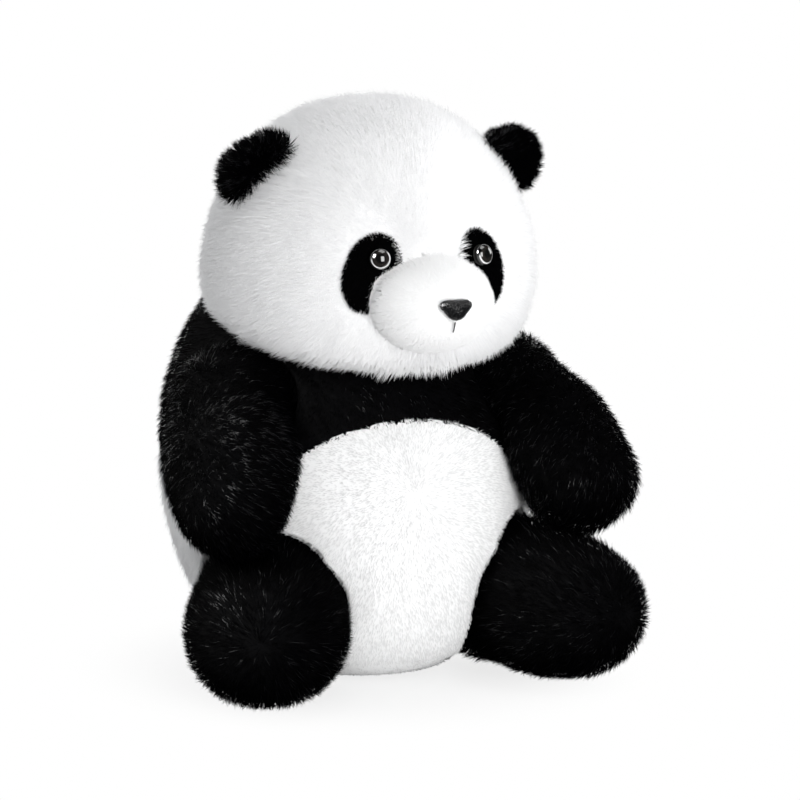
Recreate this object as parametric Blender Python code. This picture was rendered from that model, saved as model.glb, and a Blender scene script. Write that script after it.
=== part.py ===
"""Plush panda sitting down: sewn covers, stuffing, safety eyes and sewn-on limbs."""
import math

import bmesh
import bpy
from mathutils import Matrix, Vector
from mathutils.bvhtree import BVHTree

# Fits and cloth
SEAM_GAP = 0.0003
JOINT_GAP = 0.0004
COVER_THICKNESS = 0.004
PATCH_THICKNESS = 0.0016

# Head
HEAD_WIDTH = 0.232
HEAD_DEPTH = 0.208
HEAD_HEIGHT = 0.206
HEAD_TOP = 0.397
HEAD_TAPER = 0.13
HEAD_FULLNESS = 0.80
FACE_SEAM_Y = 0.014
NECK_TILT = math.radians(18)
NECK_HEIGHT = 0.240

# Muzzle, nose and mouth
MUZZLE_WIDTH = 0.088
MUZZLE_DEPTH = 0.078
MUZZLE_HEIGHT = 0.066
MUZZLE_DROP = 0.026
MUZZLE_REACH = 0.034
NOSE_WIDTH = 0.022
NOSE_HEIGHT = 0.014
NOSE_DEPTH = 0.007
NOSE_RISE = 0.001
MOUTH_LENGTH = 0.010
STITCH_RADIUS = 0.0006

# Eyes
EYE_DIAMETER = 0.014
EYE_SPACING = 0.072
EYE_RISE = 0.004
EYE_FLANGE = 0.0014
EYE_DOME = 0.0045
STEM_DIAMETER = 0.004
STEM_LENGTH = 0.015
WASHER_DIAMETER = 0.012
WASHER_THICKNESS = 0.002
PATCH_WIDTH = 0.040
PATCH_HEIGHT = 0.055
PATCH_OUT = 0.005
PATCH_DROP = 0.009
PATCH_TILT = math.radians(20)

# Ears
EAR_WIDTH = 0.056
EAR_HEIGHT = 0.060
EAR_THICKNESS = 0.016
EAR_RAKE = math.radians(32)
EAR_TURN = math.radians(34)
EAR_LEAD = math.radians(12)
EAR_OUT = -0.003
EAR_FOLD = math.radians(15)

# Body
BODY_WIDTH = 0.264
BODY_DEPTH = 0.244
BODY_HEIGHT = 0.292
BODY_SINK = 0.006
BODY_SETBACK = 0.034
BODY_HUNCH = 0.034
BODY_TAPER = 0.03
BODY_FULLNESS = 0.74
SEAT_RISE = 0.018
SIDE_SEAM_Y = -0.002
YOKE_HEIGHT = 0.150
ARCH_TOP = 0.183
ARCH_WIDTH = 0.178
ARCH_HEIGHT = 0.100
PELLET_LEVEL = 0.050

# Arms
ARM_DIAMETER = 0.095
ARM_LENGTH = 0.174
ARM_SPREAD = math.radians(18.5)
SHOULDER_X = 0.102
SHOULDER_FORWARD = 0.004
SHOULDER_HEIGHT = 0.190
SHOULDER_DIAMETER = 0.090
PAW_DIAMETER = 0.078
PAW_GAP = 0.002

# Legs
FOOT_WIDTH = 0.112
FOOT_HEIGHT = 0.101
TOE_LENGTH = 0.062
LEG_SPLAY = math.radians(26)
HIP_X = 0.085
HIP_FORWARD = 0.033
HIP_HEIGHT = 0.057
HIP_DIAMETER = 0.110
LEG_REACH = 0.057
SOLE_FLAT = 0.0005

# Tail
TAIL_WIDTH = 0.052
TAIL_LENGTH = 0.060
TAIL_HEIGHT = 0.060
TAIL_LEVEL = 0.052
TAIL_OUT = 0.008

# Joint ranges
ARM_RAISE = math.radians(30)
LEG_SPREAD = math.radians(15)

# Tessellation of the outer and inner surfaces of the stuffed forms
FINE = (24, 16)
MEDIUM = (16, 12)
COARSE = (12, 8)
LIMB_SIDES = 16

# Forms
BLOCK = 1.0
SIDES = {"left": 1.0, "right": -1.0}
PIECES = []
PLACES = {}


def clear_scene():
    for item in list(bpy.data.objects):
        bpy.data.objects.remove(item)


def material(name, colour, roughness):
    made = bpy.data.materials.new(name)
    made.use_nodes = True
    shader = made.node_tree.nodes["Principled BSDF"]
    shader.inputs["Base Color"].default_value = (*colour, 1.0)
    shader.inputs["Roughness"].default_value = roughness
    shader.inputs["Metallic"].default_value = 0.0
    return made


def solid(name, builder, matrix=Matrix()):
    """Turns an edit mesh into an object whose mesh is already in place."""
    mesh = bpy.data.meshes.new(name)
    bmesh.ops.recalc_face_normals(builder, faces=builder.faces)
    builder.to_mesh(mesh)
    builder.free()
    mesh.transform(matrix)
    item = bpy.data.objects.new(name, mesh)
    bpy.context.collection.objects.link(item)
    return item


def stuffed(size, fullness, taper, detail, inset=0.0, lean=0.0, matrix=Matrix()):
    """A closed form that swells and tapers along its height, for cloth filled with fibre."""
    builder = bmesh.new()
    bmesh.ops.create_uvsphere(builder, u_segments=detail[0], v_segments=detail[1], radius=1.0)
    half = [side / 2 - inset for side in size]
    for vertex in builder.verts:
        unit = vertex.co.copy()
        ring = math.hypot(unit.x, unit.y)
        swell = ring ** (fullness - 1) if ring > 1e-6 else 0.0
        spread = swell * (1 - taper * unit.z)
        across = unit.x * spread * half[0]
        along = unit.y * spread * half[1] + lean * unit.z
        vertex.co = Vector((across, along, unit.z * half[2]))
    return solid("form", builder, matrix)


def ball(centre, diameter, detail, grow=0.0):
    return stuffed((diameter,) * 3, 1.0, 0.0, detail, inset=-grow, matrix=Matrix.Translation(centre))


def flat_share():
    """How near the middle of a facet comes to the centre of a ball, as a share of its radius."""
    return math.cos(math.pi / MEDIUM[0]) * math.cos(math.pi / MEDIUM[1] / 2)


def socket(centre, diameter):
    """A ball-shaped cutter whose flat facets all clear a ball of the given diameter by the joint gap."""
    return ball(centre, (diameter + 2 * JOINT_GAP) / flat_share(), MEDIUM)


def rod(diameter, start, end, matrix, sides=20):
    """A round bar along the local Z of a frame, from one height to another."""
    builder = bmesh.new()
    length = end - start
    bmesh.ops.create_cone(builder, cap_ends=True, segments=sides, radius1=diameter / 2, radius2=diameter / 2,
                          depth=length)
    return solid("rod", builder, matrix @ Matrix.Translation((0, 0, start + length / 2)))


def half_space(point, normal):
    """A large block that fills the side of a plane which the normal looks to."""
    builder = bmesh.new()
    bmesh.ops.create_cube(builder, size=BLOCK)
    turn = Vector(normal).to_track_quat("Z", "Y").to_matrix().to_4x4()
    return solid("block", builder, Matrix.Translation(point) @ turn @ Matrix.Translation((0, 0, BLOCK / 2)))


def copy_of(item):
    twin = bpy.data.objects.new(item.name, item.data.copy())
    bpy.context.collection.objects.link(twin)
    return twin


def carve(piece, cutter, operation="DIFFERENCE", solver="EXACT"):
    """Applies one Boolean to a piece and leaves the cutter as it was."""
    change = piece.modifiers.new("carve", "BOOLEAN")
    change.solver = solver
    change.operation = operation
    change.object = cutter
    graph = bpy.context.evaluated_depsgraph_get()
    mesh = bpy.data.meshes.new_from_object(piece.evaluated_get(graph))
    piece.modifiers.clear()
    piece.data = mesh
    return piece


def frame_along(origin, direction, hint):
    """A frame with local Z along a direction and local Y as near to the hint as it can be."""
    axis_z = Vector(direction).normalized()
    axis_x = Vector(hint).cross(axis_z).normalized()
    axis_y = axis_z.cross(axis_x)
    turn = Matrix((axis_x, axis_y, axis_z)).transposed().to_4x4()
    return Matrix.Translation(origin) @ turn


def surface_point(form, start, direction):
    """The first place where a ray meets a form, and the outward normal there."""
    graph = bpy.context.evaluated_depsgraph_get()
    tree = BVHTree.FromObject(form, graph)
    place, normal, _, _ = tree.ray_cast(Vector(start), Vector(direction))
    return place, normal


def turned(item, pivot, axis, angle):
    """A copy of a form turned about a joint axis."""
    twin = copy_of(item)
    shift = Matrix.Translation(pivot)
    twin.data.transform(shift @ Matrix.Rotation(angle, 4, Vector(axis)) @ shift.inverted())
    return twin


def head_centre():
    return Vector((0, 0, HEAD_TOP - HEAD_HEIGHT / 2))


def neck_normal():
    return Vector((0, -math.sin(NECK_TILT), math.cos(NECK_TILT)))


def neck_centre():
    return Vector((0, 0, NECK_HEIGHT))


def head_form(detail, inset=0.0):
    size = (HEAD_WIDTH, HEAD_DEPTH, HEAD_HEIGHT)
    return stuffed(size, HEAD_FULLNESS, HEAD_TAPER, detail, inset, matrix=Matrix.Translation(head_centre()))


def muzzle_form(detail, inset=0.0):
    size = (MUZZLE_WIDTH, MUZZLE_DEPTH, MUZZLE_HEIGHT)
    front = -HEAD_DEPTH / 2 - MUZZLE_REACH
    centre = Vector((0, front + MUZZLE_DEPTH / 2, head_centre().z - MUZZLE_DROP))
    return stuffed(size, 1.0, 0.0, detail, inset, matrix=Matrix.Translation(centre))


def body_form(detail, inset=0.0):
    size = (BODY_WIDTH, BODY_DEPTH, BODY_HEIGHT)
    centre = Vector((0, BODY_SETBACK, BODY_HEIGHT / 2 - BODY_SINK))
    return stuffed(size, BODY_FULLNESS, BODY_TAPER, detail, inset, BODY_HUNCH, Matrix.Translation(centre))


def shoulder(side):
    return Vector((side * SHOULDER_X, -SHOULDER_FORWARD, SHOULDER_HEIGHT))


def hip(side):
    return Vector((side * HIP_X, -HIP_FORWARD, HIP_HEIGHT))


def leg_direction(side):
    return Vector((side * math.sin(LEG_SPLAY), -math.cos(LEG_SPLAY), 0))


def foot_centre(side):
    under_hip = Vector((side * HIP_X, -HIP_FORWARD, FOOT_HEIGHT / 2 - SOLE_FLAT))
    return under_hip + leg_direction(side) * LEG_REACH


def arm_direction(side, swing):
    down = math.cos(ARM_SPREAD)
    return Vector((side * math.sin(ARM_SPREAD), -down * math.sin(swing), -down * math.cos(swing)))


def arm_swing(side):
    """Lowers the arm from straight ahead until its paw rests on the leg."""
    reach = ARM_LENGTH - SHOULDER_DIAMETER / 2 - PAW_DIAMETER / 2
    swing = math.radians(90)
    while swing > 0:
        paw = shoulder(side) + arm_direction(side, swing) * reach
        along = (paw - hip(side)).dot(leg_direction(side)) / LEG_REACH
        along = max(0.0, min(1.0, along))
        nearest = hip(side).lerp(foot_centre(side), along)
        leg_radius = HIP_DIAMETER / 2 + (FOOT_HEIGHT - HIP_DIAMETER) / 2 * along
        if (paw - nearest).length < PAW_DIAMETER / 2 + leg_radius + PAW_GAP:
            break
        swing -= math.radians(0.25)
    return swing


def limb_rows(root, middle, end, reach, toe):
    """Rings along a limb: a round root about the joint, a swollen middle and a round end."""
    rows = []
    for angle in (0, 22.5, 45, 67.5, 90, 108):
        turn = math.radians(angle)
        rows.append((-root * math.cos(turn), root * math.sin(turn), root * math.sin(turn), 0.0))
    rows.append((reach * 0.6, middle[0], middle[1], 0.6))
    for angle in (0, 22.5, 45, 67.5, 90):
        turn = math.radians(angle)
        rows.append((reach + toe * math.sin(turn), end[0] * math.cos(turn), end[1] * math.cos(turn), 1.0))
    return rows


def limb_solid(rows, drop, matrix):
    """A closed form through the rings of a limb, its far end let down by a drop."""
    builder = bmesh.new()
    rings = []
    for along, width, height, share in rows[1:-1]:
        ring = []
        for count in range(LIMB_SIDES):
            turn = math.tau * count / LIMB_SIDES
            place = (width * math.cos(turn), height * math.sin(turn) - drop * share, along)
            ring.append(builder.verts.new(place))
        rings.append(ring)
    first = builder.verts.new((0, 0, rows[0][0]))
    last = builder.verts.new((0, -drop, rows[-1][0]))
    for count in range(LIMB_SIDES):
        after = (count + 1) % LIMB_SIDES
        builder.faces.new((first, rings[0][count], rings[0][after]))
        builder.faces.new((last, rings[-1][after], rings[-1][count]))
        for low, high in zip(rings, rings[1:]):
            builder.faces.new((low[count], low[after], high[after], high[count]))
    return solid("limb", builder, matrix)


def arm_form(side, inset=0.0):
    direction = arm_direction(side, arm_swing(side))
    root = SHOULDER_DIAMETER / 2 * flat_share() - SEAM_GAP - inset
    middle = ARM_DIAMETER / 2 - inset
    paw = PAW_DIAMETER / 2 - inset
    reach = ARM_LENGTH - SHOULDER_DIAMETER / 2 - PAW_DIAMETER / 2
    rows = limb_rows(root, (middle, middle), (paw, paw), reach, paw)
    return limb_solid(rows, 0.0, frame_along(shoulder(side), direction, (0, -1, 0)))


def leg_form(side, inset=0.0):
    root = HIP_DIAMETER / 2 * flat_share() - SEAM_GAP - inset
    foot = (FOOT_WIDTH / 2 - inset, FOOT_HEIGHT / 2 - inset)
    middle = ((root + foot[0]) / 2, (root + foot[1]) / 2)
    drop = HIP_HEIGHT - foot_centre(side).z
    rows = limb_rows(root, middle, foot, LEG_REACH, TOE_LENGTH - inset)
    return limb_solid(rows, drop, frame_along(hip(side), leg_direction(side), (0, 0, 1)))


def joint_empty(name, place, parent=None):
    """An empty on a joint axis; its world place is kept for the pieces that hang on it."""
    empty = bpy.data.objects.new(name, None)
    empty.empty_display_size = 0.02
    bpy.context.collection.objects.link(empty)
    empty.parent = parent
    empty.location = Vector(place) - (PLACES[parent.name] if parent else Vector())
    PLACES[name] = Vector(place)
    return empty


def finish_piece(item, name, pivot, look):
    """Names a finished piece, sets its origin on its joint and gives it its material."""
    item.name = name
    item.data.name = name
    item.data.materials.clear()
    item.data.materials.append(look)
    for face in item.data.polygons:
        face.use_smooth = True
    item.data.transform(Matrix.Translation(-PLACES[pivot.name]))
    item.parent = pivot
    PIECES.append(item)


def below_neck():
    return half_space(neck_centre() + neck_normal() * SEAM_GAP / 2, -neck_normal())


def above_neck():
    return half_space(neck_centre() - neck_normal() * SEAM_GAP / 2, neck_normal())


def make_head(joint, looks):
    """The head's two covers and the fibre inside them, open at the neck."""
    shell = carve(head_form(FINE), head_form(MEDIUM, COVER_THICKNESS))
    carve(shell, below_neck())
    front = half_space((0, FACE_SEAM_Y - SEAM_GAP / 2, 0), (0, -1, 0))
    rear = half_space((0, FACE_SEAM_Y + SEAM_GAP / 2, 0), (0, 1, 0))
    face = carve(copy_of(shell), front, "INTERSECT")
    back = carve(shell, rear, "INTERSECT")
    fill = carve(head_form(MEDIUM, COVER_THICKNESS + SEAM_GAP), below_neck())
    for side in SIDES:
        make_eye(side, face, fill, joint, looks)
    finish_piece(face, "face_cover", joint, looks["white_plush"])
    finish_piece(back, "head_back_cover", joint, looks["white_plush"])
    finish_piece(fill, "head_fill", joint, looks["fibre"])


def eye_frame(side):
    """A frame on the face where an eye sits, with local Z pointing out."""
    start = (SIDES[side] * EYE_SPACING / 2, -BLOCK, head_centre().z + EYE_RISE)
    place, normal = surface_point(head_form(FINE), start, (0, 1, 0))
    return frame_along(place, normal, (0, 0, 1))


def patch_frame(side):
    """A frame at the middle of an eye patch, its local Y along the patch's longer axis."""
    across = SIDES[side] * (EYE_SPACING / 2 + PATCH_OUT)
    start = (across, -BLOCK, head_centre().z + EYE_RISE - PATCH_DROP)
    place, normal = surface_point(head_form(FINE), start, (0, 1, 0))
    upright = Vector((-SIDES[side] * math.sin(PATCH_TILT), 0, math.cos(PATCH_TILT)))
    return frame_along(place, normal, upright)


def make_eye(side, face, fill, joint, looks):
    """An eye patch with its safety eye: base and stem, clear dome, and washer behind the cloth."""
    top = SEAM_GAP + PATCH_THICKNESS
    patch = carve(head_form(FINE, -top), head_form(FINE, -SEAM_GAP))
    oval = rod(1.0, -PATCH_HEIGHT / 2, PATCH_HEIGHT / 2, Matrix(), 28)
    oval.data.transform(patch_frame(side) @ Matrix.Diagonal((PATCH_WIDTH, PATCH_HEIGHT, 1, 1)))
    carve(patch, oval, "INTERSECT")
    carve(patch, muzzle_form(FINE, -SEAM_GAP))
    frame = eye_frame(side)
    seat = top + SEAM_GAP
    base = rod(EYE_DIAMETER, seat, seat + EYE_FLANGE, frame, 24)
    carve(base, rod(STEM_DIAMETER, seat - STEM_LENGTH, seat + EYE_FLANGE / 2, frame, 16), "UNION")
    lift = seat + EYE_FLANGE + SEAM_GAP
    dome = stuffed((EYE_DIAMETER, EYE_DIAMETER, EYE_DOME * 2), 1.0, 0.0, MEDIUM,
                   matrix=frame @ Matrix.Translation((0, 0, lift)))
    carve(dome, half_space(frame @ Vector((0, 0, lift)), -frame.col[2].to_3d()))
    hole = rod(STEM_DIAMETER + 2 * SEAM_GAP, -STEM_LENGTH, STEM_LENGTH, frame, 16)
    carve(patch, hole)
    carve(face, hole)
    behind = cloth_depth(head_form(MEDIUM, COVER_THICKNESS), frame) + SEAM_GAP
    washer = rod(WASHER_DIAMETER, -behind - WASHER_THICKNESS, -behind, frame, 24)
    carve(washer, hole)
    carve(fill, rod(WASHER_DIAMETER + 2 * SEAM_GAP, seat - STEM_LENGTH - SEAM_GAP, STEM_LENGTH, frame, 16))
    finish_piece(patch, "eye_patch_" + side, joint, looks["black_plush"])
    finish_piece(base, "eye_base_" + side, joint, looks["eye_base"])
    finish_piece(dome, "eye_dome_" + side, joint, looks["eye_dome"])
    finish_piece(washer, "eye_washer_" + side, joint, looks["washer"])


def cloth_depth(inner, frame):
    """How deep the inside of a cover lies under the rim of a washer, behind a frame on its outside."""
    depths = []
    for count in range(8):
        turn = math.tau * count / 8
        rim = Vector((math.cos(turn), math.sin(turn), 0)) * WASHER_DIAMETER / 2
        start = frame @ (rim + Vector((0, 0, 0.01)))
        place, _ = surface_point(inner, start, -frame.col[2].to_3d())
        depths.append((place - start).length - 0.01)
    return max(depths)


def nose_solid(frame):
    """A rounded triangle with its corner down, domed towards the front."""
    builder = bmesh.new()
    rings = []
    for step in range(5):
        rise = math.radians(20 * step)
        ring = []
        for count in range(24):
            turn = math.tau * count / 24
            radius = 1 + 0.16 * math.cos(3 * turn + math.radians(270))
            across = NOSE_WIDTH / 2 * radius * math.cos(turn) * math.cos(rise)
            up = NOSE_HEIGHT / 2 * radius * math.sin(turn) * math.cos(rise)
            ring.append(builder.verts.new((across, up, NOSE_DEPTH * math.sin(rise))))
        rings.append(ring)
    for low, high in zip(rings, rings[1:]):
        for count in range(24):
            after = (count + 1) % 24
            builder.faces.new((low[count], low[after], high[after], high[count]))
    builder.faces.new(list(reversed(rings[0])))
    builder.faces.new(rings[-1])
    return solid("nose", builder, frame)


def make_muzzle(joint, looks):
    """The stuffed muzzle with its nose, the nose's washer and the stitched mouth."""
    head = head_form(FINE, -SEAM_GAP)
    cover = carve(carve(muzzle_form(FINE), muzzle_form(COARSE, COVER_THICKNESS)), head)
    fill = carve(muzzle_form(COARSE, COVER_THICKNESS + SEAM_GAP), head)
    level = head_centre().z - MUZZLE_DROP + NOSE_RISE
    place, normal = surface_point(muzzle_form(FINE), (0, -BLOCK, level), (0, 1, 0))
    normal.x = 0
    frame = frame_along(place, normal, (0, 0, 1))
    nose = nose_solid(frame @ Matrix.Translation((0, 0, SEAM_GAP)))
    carve(nose, rod(STEM_DIAMETER, SEAM_GAP - STEM_LENGTH, NOSE_DEPTH / 2, frame, 16), "UNION")
    hole = rod(STEM_DIAMETER + 2 * SEAM_GAP, -STEM_LENGTH, STEM_LENGTH, frame, 16)
    carve(cover, hole)
    behind = cloth_depth(muzzle_form(COARSE, COVER_THICKNESS), frame) + SEAM_GAP
    washer = carve(rod(WASHER_DIAMETER, -behind - WASHER_THICKNESS, -behind, frame, 24), hole)
    carve(fill, rod(WASHER_DIAMETER + 2 * SEAM_GAP, -STEM_LENGTH - SEAM_GAP, STEM_LENGTH, frame, 16))
    finish_piece(mouth_solid(level), "mouth_stitch", joint, looks["thread"])
    finish_piece(cover, "muzzle_cover", joint, looks["white_short_plush"])
    finish_piece(fill, "muzzle_fill", joint, looks["fibre"])
    finish_piece(nose, "nose", joint, looks["nose"])
    finish_piece(washer, "nose_washer", joint, looks["washer"])


def mouth_solid(level):
    """A thread lying on the muzzle, down its middle from under the nose."""
    muzzle = muzzle_form(FINE)
    curve = bpy.data.curves.new("mouth", "CURVE")
    curve.dimensions = "3D"
    curve.bevel_depth = STITCH_RADIUS
    curve.bevel_resolution = 2
    curve.use_fill_caps = True
    line = curve.splines.new("POLY")
    line.points.add(4)
    start = level - NOSE_HEIGHT * 0.62
    for count, point in enumerate(line.points):
        height = start - MOUTH_LENGTH * count / 4
        place, normal = surface_point(muzzle, (0, -BLOCK, height), (0, 1, 0))
        normal.x = 0
        lifted = place + normal.normalized() * (STITCH_RADIUS + SEAM_GAP * 2)
        point.co = (0, lifted.y, lifted.z, 1)
    thread = bpy.data.objects.new("mouth", curve)
    bpy.context.collection.objects.link(thread)
    graph = bpy.context.evaluated_depsgraph_get()
    builder = bmesh.new()
    builder.from_mesh(bpy.data.meshes.new_from_object(thread.evaluated_get(graph)))
    bpy.data.objects.remove(thread)
    bmesh.ops.remove_doubles(builder, verts=builder.verts, dist=STITCH_RADIUS / 20)
    return solid("mouth", builder)


def ear_frame(side):
    """A frame at the root of an ear: local Z up along the ear, local Y out of its front."""
    sign = SIDES[side]
    out = Vector((sign * math.cos(EAR_RAKE) * math.cos(EAR_LEAD), -math.sin(EAR_LEAD), math.sin(EAR_RAKE)))
    out.normalize()
    place, _ = surface_point(head_form(FINE), head_centre() + out * BLOCK, -out)
    facing = Vector((sign * math.sin(EAR_TURN), -math.cos(EAR_TURN), 0))
    return frame_along(place, out, facing)


def make_ear(side, joint, looks):
    """Two cloth panels sewn round the rim, cut to the head in every pose of the fold."""
    frame = ear_frame(side)
    size = (EAR_WIDTH, EAR_THICKNESS, EAR_HEIGHT)
    form = stuffed(size, 0.9, 0.0, MEDIUM, matrix=frame @ Matrix.Translation((0, 0, EAR_OUT)))
    head = head_form(FINE, -SEAM_GAP)
    for angle in (-EAR_FOLD, 0.0, EAR_FOLD):
        carve(form, turned(head, frame.translation, frame.col[0].to_3d(), angle))
    facing = frame.col[1].to_3d()
    front = half_space(frame.translation + facing * SEAM_GAP / 2, facing)
    rear = half_space(frame.translation - facing * SEAM_GAP / 2, -facing)
    finish_piece(carve(copy_of(form), front, "INTERSECT"), "ear_front_" + side, joint, looks["black_plush"])
    finish_piece(carve(form, rear, "INTERSECT"), "ear_back_" + side, joint, looks["black_plush"])


def body_cuts(item):
    """Cuts that every layer of the body takes: the neck, the armholes and the leg openings."""
    carve(item, above_neck())
    for sign in SIDES.values():
        carve(item, socket(shoulder(sign), SHOULDER_DIAMETER))
        carve(item, socket(hip(sign), HIP_DIAMETER))
    return item


def slab(low, high):
    """A wide block between two heights."""
    block = half_space((0, 0, low), (0, 0, 1))
    return carve(block, half_space((0, 0, high), (0, 0, 1)))


def belly_region(grow):
    """Everything in front of the side seams that lies under the arch of the chest."""
    middle = ARCH_TOP - ARCH_HEIGHT / 2
    region = slab(SEAT_RISE - grow, middle + grow)
    arch = rod(1.0, -BLOCK / 2, BLOCK / 2, Matrix(), 32)
    width = ARCH_WIDTH + 2 * grow
    height = ARCH_HEIGHT + 2 * grow
    lay_down = Matrix.Rotation(math.radians(90), 4, "X")
    arch.data.transform(Matrix.Translation((0, 0, middle)) @ lay_down @ Matrix.Diagonal((width, height, 1, 1)))
    carve(arch, half_space((0, 0, middle - ARCH_HEIGHT / 4), (0, 0, -1)))
    carve(region, arch, "UNION")
    return carve(region, half_space((0, SIDE_SEAM_Y + grow, 0), (0, 1, 0)))


def back_region(grow):
    region = slab(SEAT_RISE - grow, YOKE_HEIGHT + grow)
    return carve(region, half_space((0, SIDE_SEAM_Y - grow, 0), (0, -1, 0)))


def make_body(joint, looks):
    """The body's four cloth panels, its fibre, and the bag of pellets on the seat."""
    floor = half_space((0, 0, 0), (0, 0, -1))
    inside = carve(body_form(MEDIUM, COVER_THICKNESS), half_space((0, 0, COVER_THICKNESS), (0, 0, -1)))
    shell = body_cuts(carve(carve(body_form(FINE), inside), floor))
    half_gap = SEAM_GAP / 2
    seat = carve(copy_of(shell), half_space((0, 0, SEAT_RISE - half_gap), (0, 0, 1)))
    belly = carve(copy_of(shell), belly_region(-half_gap), "INTERSECT")
    back = carve(copy_of(shell), back_region(-half_gap), "INTERSECT")
    yoke = carve(shell, half_space((0, 0, SEAT_RISE + half_gap), (0, 0, -1)))
    carve(yoke, belly_region(half_gap))
    carve(yoke, back_region(half_gap))
    stuffing = body_cuts(body_form(MEDIUM, COVER_THICKNESS + SEAM_GAP))
    bag = carve(copy_of(stuffing), slab(COVER_THICKNESS + SEAM_GAP, PELLET_LEVEL - half_gap), "INTERSECT")
    carve(stuffing, half_space((0, 0, PELLET_LEVEL + half_gap), (0, 0, -1)))
    finish_piece(seat, "seat_base", joint, looks["white_plush"])
    finish_piece(belly, "belly_panel", joint, looks["white_short_plush"])
    finish_piece(back, "back_cover", joint, looks["white_plush"])
    finish_piece(yoke, "shoulder_yoke", joint, looks["black_plush"])
    finish_piece(stuffing, "body_fill", joint, looks["fibre"])
    finish_piece(bag, "pellet_bag", joint, looks["pellets"])


def make_tail(joint, looks):
    body = body_form(FINE, -SEAM_GAP)
    place, _ = surface_point(body, (0, BLOCK, TAIL_LEVEL), (0, -1, 0))
    size = (TAIL_WIDTH, TAIL_LENGTH, TAIL_HEIGHT)
    form = stuffed(size, 1.0, 0.0, MEDIUM, matrix=Matrix.Translation(place + Vector((0, TAIL_OUT, 0))))
    finish_piece(carve(form, body), "tail", joint, looks["white_plush"])


def limb_pair(form, side, root, diameter, opening, axis, angles):
    """A limb's cover and filling, cut to the body in each pose and open at the root."""
    body = carve(body_form(FINE, -SEAM_GAP), ball(root, diameter, MEDIUM))
    cover = carve(form(side), form(side, COVER_THICKNESS))
    fill = form(side, COVER_THICKNESS + SEAM_GAP)
    for layer in (cover, fill):
        for angle in angles:
            carve(layer, turned(body, root, axis, -angle), solver="MANIFOLD")
        carve(layer, half_space(root + opening, opening), solver="MANIFOLD")
    return cover, fill


def make_arm(side, joint, looks):
    sign = SIDES[side]
    opening = Vector((-sign, 0, 0)) * SHOULDER_DIAMETER * 0.4
    angles = (0.0, ARM_RAISE / 2, ARM_RAISE)
    cover, fill = limb_pair(arm_form, sign, shoulder(sign), SHOULDER_DIAMETER, opening, (0, -sign, 0), angles)
    finish_piece(cover, "arm_cover_" + side, joint, looks["black_plush"])
    finish_piece(fill, "arm_fill_" + side, joint, looks["fibre"])


def make_leg(side, joint, looks):
    sign = SIDES[side]
    inward = Vector((0, BODY_SETBACK, HIP_HEIGHT)) - hip(sign)
    opening = inward.normalized() * HIP_DIAMETER * 0.4
    angles = (0.0, LEG_SPREAD)
    cover, fill = limb_pair(leg_form, sign, hip(sign), HIP_DIAMETER, opening, (0, 0, sign), angles)
    carve(cover, half_space((0, 0, 0), (0, 0, -1)))
    finish_piece(cover, "leg_cover_" + side, joint, looks["black_plush"])
    finish_piece(fill, "leg_fill_" + side, joint, looks["fibre"])


def all_looks():
    return {
        "white_plush": material("white_plush", (0.86, 0.85, 0.83), 0.95),
        "white_short_plush": material("white_short_plush", (0.88, 0.87, 0.85), 0.9),
        "black_plush": material("black_plush", (0.012, 0.012, 0.014), 0.9),
        "fibre": material("fibre", (0.8, 0.8, 0.78), 1.0),
        "pellets": material("pellets", (0.7, 0.68, 0.62), 0.8),
        "eye_base": material("eye_base", (0.01, 0.008, 0.007), 0.3),
        "eye_dome": material("eye_dome", (0.05, 0.04, 0.035), 0.05),
        "nose": material("nose", (0.012, 0.012, 0.012), 0.4),
        "washer": material("washer", (0.75, 0.75, 0.72), 0.5),
        "thread": material("thread", (0.05, 0.045, 0.045), 0.8),
    }


def centre_on_footprint(root):
    """Moves the whole toy so that the origin is under the middle of its outline."""
    bpy.context.view_layer.update()
    depths = []
    for item in PIECES:
        depths += [(item.matrix_world @ vertex.co).y for vertex in item.data.vertices]
    root.location.y -= (min(depths) + max(depths)) / 2


def remove_tools():
    kept = {item.name for item in PIECES}
    for item in list(bpy.data.objects):
        if item.type == "MESH" and item.name not in kept:
            bpy.data.objects.remove(item)


def main():
    clear_scene()
    looks = all_looks()
    root = joint_empty("panda", (0, 0, 0))
    head_joint = joint_empty("head_joint", neck_centre(), root)
    make_body(root, looks)
    make_tail(root, looks)
    make_head(head_joint, looks)
    make_muzzle(head_joint, looks)
    for side, sign in SIDES.items():
        ear_joint = joint_empty("ear_joint_" + side, ear_frame(side).translation, head_joint)
        make_ear(side, ear_joint, looks)
        make_arm(side, joint_empty("arm_joint_" + side, shoulder(sign), root), looks)
        make_leg(side, joint_empty("leg_joint_" + side, hip(sign), root), looks)
    remove_tools()
    centre_on_footprint(root)


main()
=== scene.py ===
"""Looks of a sitting plush panda: stuffed cloth forms, their long and short pile, eyes, nose and mouth."""
import math

import bmesh
import bpy
import numpy as np
from mathutils import Matrix, Quaternion, Vector
from mathutils.bvhtree import BVHTree


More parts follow.
